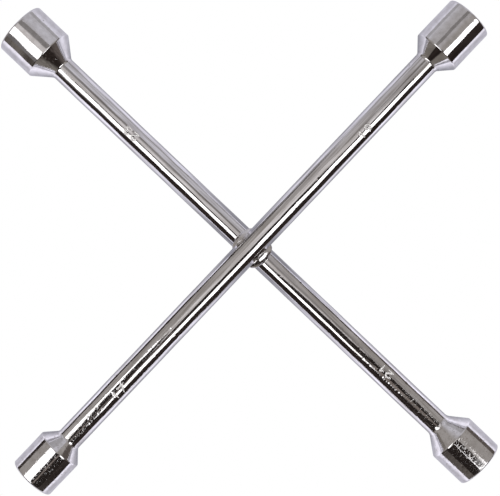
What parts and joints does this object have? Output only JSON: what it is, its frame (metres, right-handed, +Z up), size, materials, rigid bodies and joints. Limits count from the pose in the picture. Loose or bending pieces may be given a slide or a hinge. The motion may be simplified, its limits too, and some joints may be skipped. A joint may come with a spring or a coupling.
{
  "type": "lug wrench",
  "caption": "Rigid four-way cross wrench: crossed round steel bars welded at the middle, with a hex wheel-nut socket on every end, chrome plated.",
  "frame": {"origin": "where the two bars cross in plan, halfway up the overall height, within 1 mm of the bounding box centre", "axes": "+X along the front (upper) bar towards the 19 mm socket, +Y along the rear (lower) bar towards the 23 mm socket, +Z up from the rear bar to the front bar"},
  "size_m": [0.351, 0.356, 0.0414],
  "materials": {
    "bar_chrome": "bright chrome plate over drawn bar, with fine lengthwise draw marks and light pitting near the sockets",
    "socket_chrome": "bright chrome plate over a forged skin, slightly mottled, duller inside the hex",
    "weld_chrome": "chrome plate over as-welded metal, softly rippled"
  },
  "bodies": {
    "root": {"front_bar": "bar_chrome", "rear_bar": "bar_chrome", "socket_17": "socket_chrome", "socket_19": "socket_chrome", "socket_21": "socket_chrome", "socket_23": "socket_chrome", "neck_weld_17": "weld_chrome", "neck_weld_19": "weld_chrome", "neck_weld_21": "weld_chrome", "neck_weld_23": "weld_chrome", "centre_weld": "weld_chrome"}
  },
  "joints": []
}
